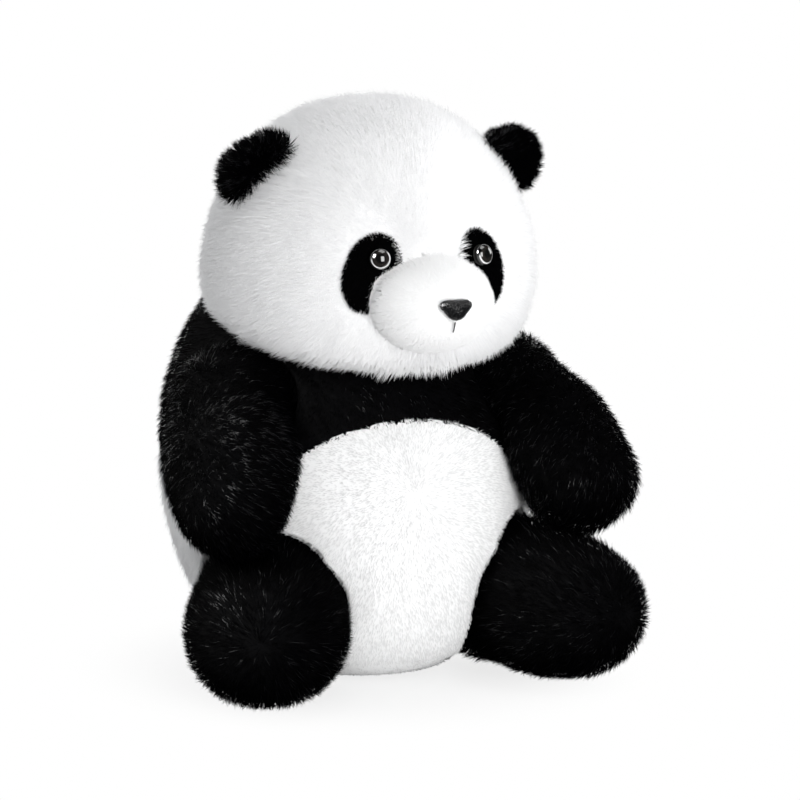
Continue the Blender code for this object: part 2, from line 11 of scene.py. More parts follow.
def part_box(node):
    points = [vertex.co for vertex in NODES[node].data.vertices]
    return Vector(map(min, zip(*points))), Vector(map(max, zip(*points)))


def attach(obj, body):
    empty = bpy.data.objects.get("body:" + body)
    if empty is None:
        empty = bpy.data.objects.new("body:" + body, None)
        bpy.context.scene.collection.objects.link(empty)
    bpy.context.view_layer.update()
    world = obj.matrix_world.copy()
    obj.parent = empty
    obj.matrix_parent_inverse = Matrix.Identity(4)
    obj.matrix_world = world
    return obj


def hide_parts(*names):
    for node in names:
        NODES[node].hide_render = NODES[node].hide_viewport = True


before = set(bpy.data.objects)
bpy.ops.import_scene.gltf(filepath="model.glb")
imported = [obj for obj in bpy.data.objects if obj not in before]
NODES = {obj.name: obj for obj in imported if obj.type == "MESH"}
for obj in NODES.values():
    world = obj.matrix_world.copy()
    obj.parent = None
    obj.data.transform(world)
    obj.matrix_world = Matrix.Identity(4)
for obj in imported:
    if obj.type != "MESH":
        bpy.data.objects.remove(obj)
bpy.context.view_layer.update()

SIDES = {"left": 1.0, "right": -1.0}
BODY_PANELS = ["shoulder_yoke", "belly_panel", "back_cover", "seat_base"]
WHITE = (1.0, 1.0, 1.0)
MAP_NAME = "OFBake"

# The pale piles, whose fibres cast no shadow
PALE_PILE = ("white_pile", "short_white_pile", "muzzle_pile_white")

# Stuffed forms, in metres
MERGE = 0.00001
CLOTH_VOXEL = 0.006
SMALL_VOXEL = 0.003
CLOTH_INSET = 0.003
MUZZLE_INSET = 0.0018
TAIL_INSET = 0.002
EAR_INSET = 0.0015
CLOTH_ROUNDS = 10
TAIL_ROUNDS = 6
EAR_ROUNDS = 4
SWELL_LIMIT = 0.002
SWELL_FRAMES = 20
SWELL_QUALITY = 4
SWELL_PRESSURE = 4
FLOOR_CLEAR = 0.0004
TINY = 1e-9

# Pile: length, lean at the root and at the tip in degrees, width, tuft size, pull of the tufts, unevenness,
# stray turn of single strands, how far a strand is shaded like the cloth under it, and where some strands
# shine, the shade from which they do
LONG_WHITE = {
    "length": 0.0112, "lean": (52, 70), "width": 0.00042, "tuft": 0.0026,
    "pull": 0.25, "uneven": 0.16, "stray": 0.16, "soft": 0.88,
}
LONG_BLACK = {
    "length": 0.0096, "lean": (40, 60), "width": 0.00046, "tuft": 0.0028,
    "pull": 0.32, "uneven": 0.20, "stray": 0.26, "soft": 0.25, "shine": 0.67,
}
DIM_BLACK = dict(LONG_BLACK, shine=0.77)
EAR_BLACK = {
    "length": 0.0090, "lean": (28, 44), "width": 0.00048, "tuft": 0.0042,
    "pull": 0.65, "uneven": 0.28, "stray": 0.22, "soft": 0.35, "shine": 0.70,
}
BRIDGE_WHITE = {
    "length": 0.0085, "lean": (22, 52), "width": 0.00040, "tuft": 0.0026,
    "pull": 0.2, "uneven": 0.12, "stray": 0.25, "soft": 0.92,
}
SHORT_WHITE = {
    "length": 0.0037, "lean": (54, 72), "width": 0.00048, "tuft": 0.0018,
    "pull": 0.08, "uneven": 0.10, "stray": 0.20, "soft": 0.96,
}
MUZZLE_WHITE = {
    "length": 0.0030, "lean": (26, 50), "width": 0.00034, "tuft": 0.0016,
    "pull": 0.15, "uneven": 0.14, "stray": 0.30, "soft": 0.95,
}
PATCH_BLACK = {
    "length": 0.0044, "lean": (34, 54), "width": 0.00042, "tuft": 0.0018,
    "pull": 0.25, "uneven": 0.18, "stray": 0.20, "soft": 0.35,
}

# Strands on each cover, and the seed of its draws; a second side takes the next seed
STRANDS = {
    "face": 29000, "head back": 14500, "bridge": 4000, "muzzle": 20000, "patch": 12500, "yoke": 27000,
    "belly": 30000, "back": 12500, "seat": 4000, "arm": 19500, "leg": 18500, "ear": 7000, "tail": 3000,
}
SEEDS = {
    "face": 100, "head back": 110, "bridge": 104, "muzzle": 120, "patch": 130, "yoke": 140,
    "belly": 141, "back": 142, "seat": 144, "arm": 170, "leg": 172, "ear": 180, "tail": 160,
}

# Shape of a strand: its faces over root, ring and tip, where the ring sits, and how much strands differ
SPINDLE = np.array([(2, 1, 0), (3, 2, 0), (1, 3, 0), (1, 2, 4), (2, 3, 4), (3, 1, 4)])
SPINDLE_POINTS = 5
RING_SHARE = 0.42
RING_PULL = 0.4
ROOT_DEPTH = 0.0010
LEAN_SPREAD = 7
LENGTH_RANGE = (0.75, 1.15)
WIDTH_RANGE = (0.7, 1.3)
LENGTH_CLOUD = 0.02
SWIRL_CLOUD = 0.028
SWIRL_GAIN = 2
SWIRL_SEED = 11
TUFT_SEED = 23

# Shade of a strand: shares of its tuft, of the cloud that it lies in and of its own
TUFT_SHADE = 0.20
CLOUD_SHADE = 0.13
OWN_SHADE = 0.1
SHADE_CLOUD = 0.035
SHADE_SEED = 5
SHADE_RANGE = (0.02, 0.98)
SHADE_EDGE = 0.004

# Repeatable noise
PRIMES = np.array([73856093, 19349663, 83492791], dtype=np.int64)
SEED_STEP = 7919
HASH_FACTOR = 1274126177

# Where pile ends: gaps to the neighbour between which it thins out
HIDDEN = (-0.001, 0.001)
HEAD_AT_MUZZLE = (-0.002, 0.0)
HEAD_AT_NECK = (0.0, 0.002)
MUZZLE_AT_NOSE = (0.0005, 0.0015)
MUZZLE_AT_HEAD = (-0.005, -0.003)
AT_FLOOR = (0.002, 0.006)
PATCH_REACH = 0.005
PATCH_OFF_MUZZLE = 0.0015
PANEL_REACH = 0.006

# Where pile is cut short: the share of its length that stays, and the gaps between which the rest comes back
CUT_AT_PATCH = (0.45, 0.0, 0.030)
CUT_AT_EYE = (0.7, 0.004, 0.02)
CUT_AT_MUZZLE = (0.75, 0.0, 0.020)
CUT_AT_MOUTH = (0.35, 0.001, 0.007)
PATCH_CUT_AT_EYE = (0.45, 0.003, 0.010)
BODY_CUT_AT_LIMB = (0.55, 0.0, 0.012)
BODY_CUT_AT_FLOOR = (0.4, 0.002, 0.014)
YOKE_CUT_AT_BELLY = (0.45, 0.002, 0.016)
LIMB_CUT_AT_BODY = (0.6, 0.0, 0.010)
LIMB_CUT_AT_FLOOR = (0.5, 0.002, 0.014)

# The yoke's rear hem: its span, the length that stays there, and how much denser it is
REAR_HEM = (0.002, 0.014)
REAR_HEM_LENGTH = 0.7
REAR_HEM_DENSITY = 2.5

# Where an arm and a leg meet, the pile is longer by this share, over this span of gaps
LIMB_REACH = 0.75
LIMB_MEETING = (0.004, 0.03)

# The strip of pile between the eyes, and how far its top stands above the muzzle
BRIDGE_HALF_WIDTH = (0.014, 0.026)
BRIDGE_TOP = (0.012, 0.040)
BRIDGE_OVERLAP = 0.006

# Points that pile runs away from, ways that it runs in, and how far it droops
YOKE_WHORL = (0, -0.02, 0.30)
BELLY_WHORL = (0, -0.09, 0.135)
SEAT_WHORL = (0, 0.03, 0.02)
EAR_ROOT = 0.72
BACK_FLOW = (0, 0.15, -1)
TAIL_FLOW = (0, 0.6, -1)
FACE_DROOP = 0.15
PATCH_DROOP = 0.3
BELLY_DROOP = 0.2

# Search reach beside thin solids
NEAR_INSIDE = 0.015
RIM_REACH = 0.0006

# Eyes, nose and mouth
PATCH_EDGE = 0.0008
PATCH_INSET = 0.0024
PATCH_BEHIND = 0.01
DOME_SEGMENTS = 56
DOME_RINGS = 28
DOME_FOOT = 0.0002
DOME_CREASE = math.radians(50)
CRESCENT_TURN = math.radians(-67)
CRESCENT_REACH = math.radians(112)
CRESCENT_FADE = math.radians(12)
MUZZLE_EDGE = 1.0
MUZZLE_TOP_EDGE = 0.9
MUZZLE_ROLL = (0.0, 0.018)
MUZZLE_TILT = (0, -0.55, 0)
BELLY_TILT = (0, -0.4, 0.15)
NOSE_ABOVE = Vector((0, 0, 0.012))
NOSE_VOXEL = 0.0005
NOSE_ROUNDS = 6
NOSE_GRAIN = 800
NOSE_CELL = 0.0016
NOSE_RELIEF = 0.0005
PLY_RADIUS = 0.00028
PLY_SPACING = 0.9
MOUTH_SLICES = 5
MOUTH_STEPS = 41
MOUTH_TURNS = 5
MOUTH_SHARE = 0.68

# Light and floor
AMBIENT = 0.38
GLOSS_AMBIENT = 0.05
LAMP_AIM = Vector((0, 0, 0.2))
FLOOR_SIZE = 12
SHADOW_SPAN = (0.08, 0.21)
SHADOW_SHARE = 0.22

# Camera
VIEW_TURN = math.radians(-25)
VIEW_RISE = math.radians(9)
VIEW_DISTANCE = 2.5
VIEW_LENS = 163
VIEW_ROLL = math.radians(0.6)
VIEW_TARGET = Vector((0.0206, -0.0174, 0.1884))


def select_only(item):
    """Leaves one object selected and active."""
    bpy.ops.object.select_all(action="DESELECT")
    item.select_set(True)
    bpy.context.view_layer.objects.active = item


def apply_modifier(item, kind, **settings):
    """Adds a modifier with its settings and applies it."""
    change = item.modifiers.new(kind.lower(), kind)
    for key, value in settings.items():
        setattr(change, key, value)
    select_only(item)
    bpy.ops.object.modifier_apply(modifier=change.name)


def places(item):
    """The points of a mesh as rows of numbers."""
    rows = np.zeros(len(item.data.vertices) * 3)
    item.data.vertices.foreach_get("co", rows)
    return rows.reshape(-1, 3)


def set_places(item, rows):
    """Moves the points of a mesh to rows of numbers."""
    item.data.vertices.foreach_set("co", rows.ravel())
    item.data.update()


def joined_copy(name, nodes):
    """One object made of copies of solids, with their loose triangles merged."""
    bpy.ops.object.select_all(action="DESELECT")
    for node in nodes:
        twin = bpy.data.objects.new(name, NODES[node].data.copy())
        bpy.context.scene.collection.objects.link(twin)
        twin.select_set(True)
        bpy.context.view_layer.objects.active = twin
    if len(nodes) > 1:
        bpy.ops.object.join()
    item = bpy.context.view_layer.objects.active
    item.name = name
    item.data.name = name
    item.data.materials.clear()
    bpy.ops.object.mode_set(mode="EDIT")
    bpy.ops.mesh.select_all(action="SELECT")
    bpy.ops.mesh.remove_doubles(threshold=MERGE)
    bpy.ops.object.mode_set(mode="OBJECT")
    return item


def keep_outer_skin(item):
    """Deletes whatever a remesh leaves inside the outermost closed surface."""
    builder = bmesh.new()
    builder.from_mesh(item.data)
    builder.verts.ensure_lookup_table()
    start = min(builder.verts, key=lambda vertex: vertex.co.x)
    outer = {start}
    waiting = [start]
    while waiting:
        vertex = waiting.pop()
        for edge in vertex.link_edges:
            other = edge.other_vert(vertex)
            if other not in outer:
                outer.add(other)
                waiting.append(other)
    inner = [vertex for vertex in builder.verts if vertex not in outer]
    bmesh.ops.delete(builder, geom=inner, context="VERTS")
    builder.to_mesh(item.data)
    builder.free()


def swell(item):
    """Fills a form with air as a cloth bag, and lets no point move further than the limit."""
    before = places(item)
    cloth = item.modifiers.new("swell", "CLOTH")
    cloth.settings.quality = SWELL_QUALITY
    cloth.settings.use_pressure = True
    cloth.settings.uniform_pressure_force = SWELL_PRESSURE
    cloth.settings.effector_weights.gravity = 0
    cloth.point_cache.frame_end = SWELL_FRAMES
    for count in range(1, SWELL_FRAMES + 1):
        bpy.context.scene.frame_set(count)
    graph = bpy.context.evaluated_depsgraph_get()
    after = places(item.evaluated_get(graph))
    item.modifiers.remove(cloth)
    bpy.context.scene.frame_set(1)
    move = after - before
    far = np.linalg.norm(move, axis=1, keepdims=True)
    set_places(item, before + move * np.minimum(1, SWELL_LIMIT / np.maximum(far, TINY)))


def stuffed(name, nodes, voxel, inset, rounds):
    """A padded form in the space of some solids: one closed skin, rounded, drawn in and swollen."""
    item = joined_copy(name, nodes)
    apply_modifier(item, "REMESH", mode="VOXEL", voxel_size=voxel)
    keep_outer_skin(item)
    apply_modifier(item, "SMOOTH", factor=0.5, iterations=rounds)
    apply_modifier(item, "DISPLACE", strength=-inset, mid_level=0.0)
    swell(item)
    apply_modifier(item, "SUBSURF", levels=1, render_levels=1)
    rows = places(item)
    rows[:, 2] = np.maximum(rows[:, 2], FLOOR_CLEAR)
    set_places(item, rows)
    select_only(item)
    bpy.ops.object.shade_smooth()
    return item


def lattice(cells, seed):
    """A repeatable random number from -1 to 1 for each cell of a grid."""
    hashed = (cells * PRIMES).sum(axis=1) + seed * SEED_STEP
    hashed = (hashed ^ (hashed >> 13)) * HASH_FACTOR
    hashed = hashed ^ (hashed >> 16)
    return (hashed & 0xFFFF) / 32767.5 - 1


def soft_noise(points, size, seed):
    """Smooth noise from -1 to 1 whose features are about the given size."""
    grid = points / size
    low = np.floor(grid).astype(np.int64)
    part = grid - low
    part = part * part * (3 - 2 * part)
    total = np.zeros(len(points))
    for corner in np.ndindex(2, 2, 2):
        share = np.prod(np.where(np.array(corner) == 1, part, 1 - part), axis=1)
        total += share * lattice(low + np.array(corner), seed)
    return total


def tufts(points, size, seed):
    """For each point the nearest of many scattered tuft centres, and that tuft's tone."""
    cells = np.floor(points / size).astype(np.int64)
    best = np.full(len(points), np.inf)
    centres = np.zeros_like(points)
    tones = np.zeros(len(points))
    for step in np.ndindex(3, 3, 3):
        near = cells + np.array(step) - 1
        jitter = np.stack([lattice(near, seed + axis) for axis in range(3)], axis=1)
        centre = (near + 0.5 + 0.5 * jitter) * size
        gap = ((centre - points) ** 2).sum(axis=1)
        better = gap < best
        best[better] = gap[better]
        centres[better] = centre[better]
        tones[better] = lattice(near, seed + 3)[better]
    return centres, tones


def unit(rows):
    """Rows of numbers at length 1."""
    return rows / np.maximum(np.linalg.norm(rows, axis=1, keepdims=True), TINY)


def tree_of(item):
    """A search tree over the faces of a mesh."""
    builder = bmesh.new()
    builder.from_mesh(item.data)
    tree = BVHTree.FromBMesh(builder)
    builder.free()
    return tree


def distance_to(rows, item, signed=False):
    """How far each point lies from a mesh, negative inside it if signed."""
    tree = tree_of(item)
    result = np.zeros(len(rows))
    for count, row in enumerate(rows):
        point = Vector(row)
        place, normal, _, gap = tree.find_nearest(point)
        if signed and gap < NEAR_INSIDE:
            normal = sum((face[1] for face in tree.find_nearest_range(point, gap + RIM_REACH)), normal)
            gap = math.copysign(gap, (point - place).dot(normal))
        result[count] = gap
    return result


def beside(rows, normals, item):
    """How far each point of a skin lies outside the outline of a flat piece that is laid on it."""
    tree = tree_of(item)
    result = np.zeros(len(rows))
    for count, row in enumerate(rows):
        place, _, _, _ = tree.find_nearest(Vector(row))
        across = np.array(place) - row
        across -= normals[count] * across.dot(normals[count])
        result[count] = np.linalg.norm(across)
    return result


def skin_normals(skin):
    """The direction that a skin faces at each of its points."""
    normals = np.zeros(len(skin.data.vertices) * 3)
    skin.data.vertex_normals.foreach_get("vector", normals)
    return normals.reshape(-1, 3)


def step_up(values, low, high):
    """0 below low, 1 above high, and a smooth rise between."""
    share = np.clip((values - low) / (high - low), 0, 1)
    return share * share * (3 - 2 * share)


def cut_short(gaps, least, low, high):
    """Share of the full length: least where the gap is below low, and 1 above high."""
    return least + (1 - least) * step_up(gaps, low, high)


def scatter(skin, count, keep, maker):
    """Random points on a skin, as many as asked where keep is 1: places, normals and corner shares."""
    mesh = skin.data
    mesh.calc_loop_triangles()
    corners = np.zeros(len(mesh.loop_triangles) * 3, dtype=np.int64)
    mesh.loop_triangles.foreach_get("vertices", corners)
    corners = corners.reshape(-1, 3)
    rows = places(skin)
    normals = skin_normals(skin)
    a, b, c = (rows[corners[:, k]] for k in range(3))
    areas = np.linalg.norm(np.cross(b - a, c - a), axis=1) / 2
    weight = areas * keep[corners].mean(axis=1)
    picks = maker.choice(len(corners), size=count, p=weight / weight.sum())
    first = np.sqrt(maker.random(count))
    second = maker.random(count)
    shares = np.stack([1 - first, first * (1 - second), first * second], axis=1)
    chosen = corners[picks]
    spots = (rows[chosen] * shares[:, :, None]).sum(axis=1)
    upright = unit((normals[chosen] * shares[:, :, None]).sum(axis=1))
    return spots, upright, chosen, shares


def strands(spots, normals, flow, lengths, pile, seed, maker):
    """Corner points and tones of thin closed spindles that stand on the spots and bend along the flow."""
    count = len(spots)
    swirl = soft_noise(spots, SWIRL_CLOUD, seed + SWIRL_SEED)[:, None] * pile["stray"] * SWIRL_GAIN
    across = np.cross(normals, unit(flow))
    flow = flow + across * swirl + maker.normal(0, pile["stray"], (count, 3))
    flow = unit(flow - normals * (flow * normals).sum(axis=1, keepdims=True))
    lean = np.radians(maker.normal(0, LEAN_SPREAD, count))[:, None]
    low, high = (math.radians(angle) for angle in pile["lean"])
    start = normals * np.cos(low + lean) + flow * np.sin(low + lean)
    end = normals * np.cos(high + lean) + flow * np.sin(high + lean)
    ring = spots + start * (lengths * RING_SHARE)[:, None]
    tip = ring + end * (lengths * (1 - RING_SHARE))[:, None]
    centres, tones = tufts(spots, pile["tuft"], seed + TUFT_SEED)
    pull = (centres - spots) * pile["pull"]
    pull -= normals * (pull * normals).sum(axis=1, keepdims=True)
    ring = ring + pull * RING_PULL
    tip = tip + pull
    root = spots - normals * ROOT_DEPTH
    along = unit(tip - root)
    side = unit(np.cross(along, maker.normal(0, 1, (count, 3))))
    other = np.cross(along, side)
    half = pile["width"] / 2 * maker.uniform(*WIDTH_RANGE, count)[:, None]
    points = [root]
    for turn in (0, 120, 240):
        angle = math.radians(turn)
        points.append(ring + half * (side * math.cos(angle) + other * math.sin(angle)))
    points.append(tip)
    corners = np.stack(points, axis=1)
    corners[:, :, 2] = np.maximum(corners[:, :, 2], FLOOR_CLEAR)
    return corners, tones


def spindle_mesh(name, corners, shades, normals, soft):
    """Spindles as one mesh, shaded partly like their cloth; its map has shade across and height upwards."""
    count = len(corners)
    faces = (np.arange(count)[:, None, None] * SPINDLE_POINTS + SPINDLE).reshape(-1)
    mesh = bpy.data.meshes.new(name)
    mesh.vertices.add(count * SPINDLE_POINTS)
    mesh.vertices.foreach_set("co", corners.ravel())
    mesh.loops.add(len(faces))
    mesh.loops.foreach_set("vertex_index", faces)
    mesh.polygons.add(len(faces) // 3)
    mesh.polygons.foreach_set("loop_start", np.arange(0, len(faces), 3))
    mesh.polygons.foreach_set("use_smooth", np.ones(len(faces) // 3, dtype=bool))
    across = shades[:, None] + np.array([0, -1, 0, 1, 0]) * SHADE_EDGE
    up = np.broadcast_to(np.array([0.01, RING_SHARE, RING_SHARE, RING_SHARE, 0.99]), across.shape)
    spread = np.stack([across, up], axis=2).reshape(-1, 2)[faces]
    layer = mesh.uv_layers.new(name=MAP_NAME)
    layer.data.foreach_set("uv", spread.ravel())
    mesh.update(calc_edges=True)
    middle = corners[:, 1:4].mean(axis=1, keepdims=True)
    facing = np.repeat(normals[:, None, :], SPINDLE_POINTS, axis=1)
    round_about = unit((corners[:, 1:4] - middle).reshape(-1, 3)).reshape(-1, 3, 3)
    facing[:, 1:4] = facing[:, 1:4] * soft + round_about * (1 - soft)
    mesh.normals_split_custom_set_from_vertices(unit(facing.reshape(-1, 3)).tolist())
    item = bpy.data.objects.new(name, mesh)
    bpy.context.scene.collection.objects.link(item)
    return item


def grow(name, skin, pile, count, keep, flow, look, body, nodes, seed, trim=None, fine=None, tilt=(0, 0, 0),
         shine=None):
    """Pile on the part of a skin where keep is above 0, which stands for the cover of that part."""
    maker = np.random.default_rng(seed)
    spots, normals, chosen, shares = scatter(skin, count, keep, maker)
    if fine is not None:
        kept = fine(spots, normals)
        spots, normals, chosen, shares = spots[kept], normals[kept], chosen[kept], shares[kept]
    count = len(spots)
    lengths = pile["length"] * (1 + pile["uneven"] * soft_noise(spots, LENGTH_CLOUD, seed))
    lengths *= maker.uniform(*LENGTH_RANGE, count)
    if trim is not None:
        lengths *= (trim[chosen] * shares).sum(axis=1)
    corners, tones = strands(spots, normals, flow(spots, normals), lengths, pile, seed, maker)
    cloud = soft_noise(spots, SHADE_CLOUD, seed + SHADE_SEED)
    shades = 0.5 + TUFT_SHADE * tones + CLOUD_SHADE * cloud + maker.normal(0, OWN_SHADE, count)
    facing = unit(normals + np.array(tilt))
    item = spindle_mesh(name, corners, np.clip(shades, *SHADE_RANGE), facing, pile["soft"])
    item.data.materials.append(look)
    if shine is not None:
        item.data.materials.append(shine)
        shiny = (shades > pile["shine"]).astype(np.int32)
        item.data.polygons.foreach_set("material_index", np.repeat(shiny, len(SPINDLE)))
    # Pale fibres let light through, so they leave the shadows to the cloth under them
    item.visible_shadow = look.name not in PALE_PILE
    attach(item, body)
    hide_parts(*nodes)
    return item


def new_look(name):
    """A material with a bare Principled shader."""
    look = bpy.data.materials.new(name)
    look.use_nodes = True
    tree = look.node_tree
    return look, tree, tree.nodes["Principled BSDF"]


def link(tree, source, target):
    """Joins two sockets."""
    tree.links.new(source, target)


def set_inputs(node, **values):
    """Sets sockets of a node; an underscore stands for a space in a socket's name."""
    for name, value in values.items():
        node.inputs[name.replace("_", " ")].default_value = value


def vector_math(tree, operation, source):
    """An operation on a vector."""
    node = tree.nodes.new("ShaderNodeVectorMath")
    node.operation = operation
    link(tree, source, node.inputs[0])
    return node


def smooth_range(tree, value, **span):
    """A value carried smoothly from one span to another."""
    node = tree.nodes.new("ShaderNodeMapRange")
    node.interpolation_type = "SMOOTHSTEP"
    set_inputs(node, **span)
    link(tree, value, node.inputs["Value"])
    return node.outputs["Result"]


def ramp(tree, source, stops):
    """A colour ramp on a value."""
    node = tree.nodes.new("ShaderNodeValToRGB")
    while len(node.color_ramp.elements) < len(stops):
        node.color_ramp.elements.new(0.5)
    for element, (place, colour) in zip(node.color_ramp.elements, stops):
        element.position = place
        element.color = (*colour, 1.0)
    link(tree, source, node.inputs["Fac"])
    return node.outputs["Color"]


def mixed(tree, kind, first, second, share=None):
    """Two colours mixed; without a share the second is laid on in full."""
    node = tree.nodes.new("ShaderNodeMix")
    node.data_type = "RGBA"
    node.blend_type = kind
    node.inputs["Factor"].default_value = 1.0
    if share is not None:
        link(tree, share, node.inputs["Factor"])
    link(tree, first, node.inputs["A"])
    link(tree, second, node.inputs["B"])
    return node.outputs["Result"]


def object_noise(tree, scale, detail=3):
    """Noise fixed to the piece."""
    where = tree.nodes.new("ShaderNodeTexCoord")
    noise = tree.nodes.new("ShaderNodeTexNoise")
    set_inputs(noise, Scale=scale, Detail=detail)
    link(tree, where.outputs["Object"], noise.inputs["Vector"])
    return noise.outputs["Fac"]


def bumped(tree, shader, height, strength, depth):
    """Gives a shader a bump from a height."""
    bump = tree.nodes.new("ShaderNodeBump")
    set_inputs(bump, Strength=strength, Distance=depth)
    link(tree, height, bump.inputs["Height"])
    link(tree, bump.outputs["Normal"], shader.inputs["Normal"])


def own_map(tree):
    """The piece's own map."""
    spread = tree.nodes.new("ShaderNodeUVMap")
    spread.uv_map = MAP_NAME
    return spread.outputs["UV"]


def pile_look(name, root, tip, dark, roughness, gloss):
    """Fibres coloured from root to tip, a darker root being painted shade; each strand in its own shade."""
    look, tree, shader = new_look(name)
    apart = tree.nodes.new("ShaderNodeSeparateXYZ")
    link(tree, own_map(tree), apart.inputs["Vector"])
    # Root to tip: a root darker than its tip is painted shade of the roots deep in the pile
    upward = ramp(tree, apart.outputs["Y"], [(0.0, root), (0.75, tip)])
    shade = ramp(tree, apart.outputs["X"], [(0.1, dark), (0.9, WHITE)])
    link(tree, mixed(tree, "MULTIPLY", upward, shade), shader.inputs["Base Color"])
    set_inputs(shader, Roughness=roughness, Specular_IOR_Level=gloss)
    return look


def backing_look(name, dark, light):
    """The knitted cloth that the pile grows from, seen between the strands."""
    look, tree, shader = new_look(name)
    knit = object_noise(tree, 900)
    link(tree, ramp(tree, knit, [(0.3, dark), (0.7, light)]), shader.inputs["Base Color"])
    bumped(tree, shader, knit, 0.4, 0.0005)
    set_inputs(shader, Roughness=0.95, Specular_IOR_Level=0.05)
    return look


def plastic_look(name, dark, light, roughness, grain, depth):
    """Moulded plastic with a faint mottle and a fine skin."""
    look, tree, shader = new_look(name)
    mottle = object_noise(tree, grain)
    link(tree, ramp(tree, mottle, [(0.35, dark), (0.65, light)]), shader.inputs["Base Color"])
    bumped(tree, shader, mottle, 0.3, depth)
    set_inputs(shader, Roughness=roughness)
    return look


def nose_look():
    """Black plastic moulded with a leather grain, satin, with painted shade in the grain's grooves."""
    look, tree, shader = new_look("nose_leather_grain")
    where = tree.nodes.new("ShaderNodeTexCoord")
    cells = tree.nodes.new("ShaderNodeTexVoronoi")
    cells.feature = "DISTANCE_TO_EDGE"
    set_inputs(cells, Scale=NOSE_GRAIN)
    link(tree, where.outputs["Object"], cells.inputs["Vector"])
    edge = cells.outputs["Distance"]
    height = ramp(tree, edge, [(0.0, (0, 0, 0)), (0.25, WHITE)])
    # Darker in the grooves of the grain than on its cells: painted shade in the grooves
    painted_groove_shade = ramp(tree, edge, [(0.0, (0.003, 0.003, 0.003)), (0.2, (0.012, 0.012, 0.013))])
    link(tree, painted_groove_shade, shader.inputs["Base Color"])
    bumped(tree, shader, height, 0.5, 0.0002)
    set_inputs(shader, Roughness=0.22, Specular_IOR_Level=0.4)
    return look


def thread_look():
    """Dark spun thread with paler fibres along it."""
    look, tree, shader = new_look("mouth_thread")
    fibre = object_noise(tree, 2600, 4)
    link(tree, ramp(tree, fibre, [(0.35, (0.012, 0.011, 0.012)), (0.7, (0.06, 0.056, 0.056))]),
         shader.inputs["Base Color"])
    bumped(tree, shader, fibre, 0.6, 0.0001)
    set_inputs(shader, Roughness=0.8)
    return look


def crescent(tree, centred):
    """1 on the side of the eye's rim where the pale crescent shows, and 0 opposite it."""
    facing = vector_math(tree, "NORMALIZE", centred)
    toward = vector_math(tree, "DOT_PRODUCT", facing.outputs["Vector"])
    toward.inputs[1].default_value = (math.cos(CRESCENT_TURN), math.sin(CRESCENT_TURN), 0)
    start = math.cos(CRESCENT_REACH + CRESCENT_FADE)
    end = math.cos(CRESCENT_REACH - CRESCENT_FADE)
    return smooth_range(tree, toward.outputs["Value"], From_Min=start, From_Max=end)


def eye_look():
    """A dark glossy dome: pupil, brown iris, and the pale crescent of its rim along the lower edge."""
    look, tree, shader = new_look("eye_dome_gloss")
    centred = tree.nodes.new("ShaderNodeMapping")
    set_inputs(centred, Location=(-1, -1, 0), Scale=(2, 2, 0))
    link(tree, own_map(tree), centred.inputs["Vector"])
    radius = vector_math(tree, "LENGTH", centred.outputs["Vector"]).outputs["Value"]
    black = (0.0015, 0.0015, 0.0015)
    off = (0, 0, 0)
    iris = ramp(tree, radius, [(0.0, black), (0.42, black), (0.48, (0.012, 0.010, 0.009)),
                               (0.72, (0.020, 0.017, 0.015)), (0.79, black), (1.0, black)])
    rim = ramp(tree, radius, [(0.80, off), (0.825, WHITE), (0.905, WHITE), (0.93, off)])
    both = tree.nodes.new("ShaderNodeMath")
    both.operation = "MULTIPLY"
    link(tree, rim, both.inputs[0])
    link(tree, crescent(tree, centred.outputs["Vector"]), both.inputs[1])
    pale = ramp(tree, radius, [(0.8, (0.80, 0.80, 0.81)), (0.93, (0.92, 0.92, 0.92))])
    link(tree, mixed(tree, "MIX", iris, pale, both.outputs[0]), shader.inputs["Base Color"])
    set_inputs(shader, Roughness=0.03, Specular_IOR_Level=0.9, Coat_Weight=1.0, Coat_Roughness=0.02)
    return look


def pile_looks():
    """The finishes of the pile: colour at the root and at the tip, darkest shade, roughness and gloss."""
    pale = (0.985, 0.985, 0.985)
    return {
        # The white, black and shiny black piles are darker at the root: painted shade of the roots deep in
        # the pile
        "white": pile_look("white_pile", (0.93, 0.93, 0.93), (0.97, 0.97, 0.97),
                           (0.90, 0.90, 0.91), 0.9, 0.05),
        "short": pile_look("short_white_pile", (0.80, 0.80, 0.80), (0.78, 0.78, 0.78), pale, 0.9, 0.05),
        "muzzle": pile_look("muzzle_pile_white", (0.94, 0.94, 0.94), (0.92, 0.92, 0.92), pale, 0.9, 0.05),
        "black": pile_look("black_pile", (0.0004, 0.0004, 0.0005), (0.0010, 0.0010, 0.0016),
                           (0.25, 0.25, 0.27), 0.60, 0.012),
        "black_shine": pile_look("black_pile_shine", (0.0005, 0.0005, 0.0007), (0.0030, 0.0030, 0.0042),
                                 (0.6, 0.6, 0.6), 0.28, 0.20),
    }


def all_looks():
    """Every finish of the toy by its short name."""
    return {
        **pile_looks(),
        "white_backing": backing_look("white_backing", (0.95, 0.95, 0.95), (0.97, 0.97, 0.97)),
        "black_backing": backing_look("black_backing", (0.0008, 0.0008, 0.001), (0.002, 0.002, 0.0025)),
        "eye": eye_look(),
        "eye_base": plastic_look("eye_base_black", (0.004, 0.0035, 0.003), (0.010, 0.009, 0.008),
                                 0.3, 700, 0.00002),
        "nose": nose_look(),
        "thread": thread_look(),
        "washer": plastic_look("washer_natural", (0.70, 0.69, 0.66), (0.78, 0.77, 0.74), 0.5, 500, 0.00004),
    }


def from_point(point, droop=0.0):
    """A flow that runs away from a point, with some droop."""
    def flow(spots, normals):
        return unit(spots - np.array(point)) + np.array((0, 0, -droop))
    return flow


def along(direction):
    """A flow that runs in one direction all over."""
    def flow(spots, normals):
        return np.tile(np.array(direction), (len(spots), 1))
    return flow


def middle_of(node):
    """The middle of a node's box."""
    low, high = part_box(node)
    return (low + high) / 2


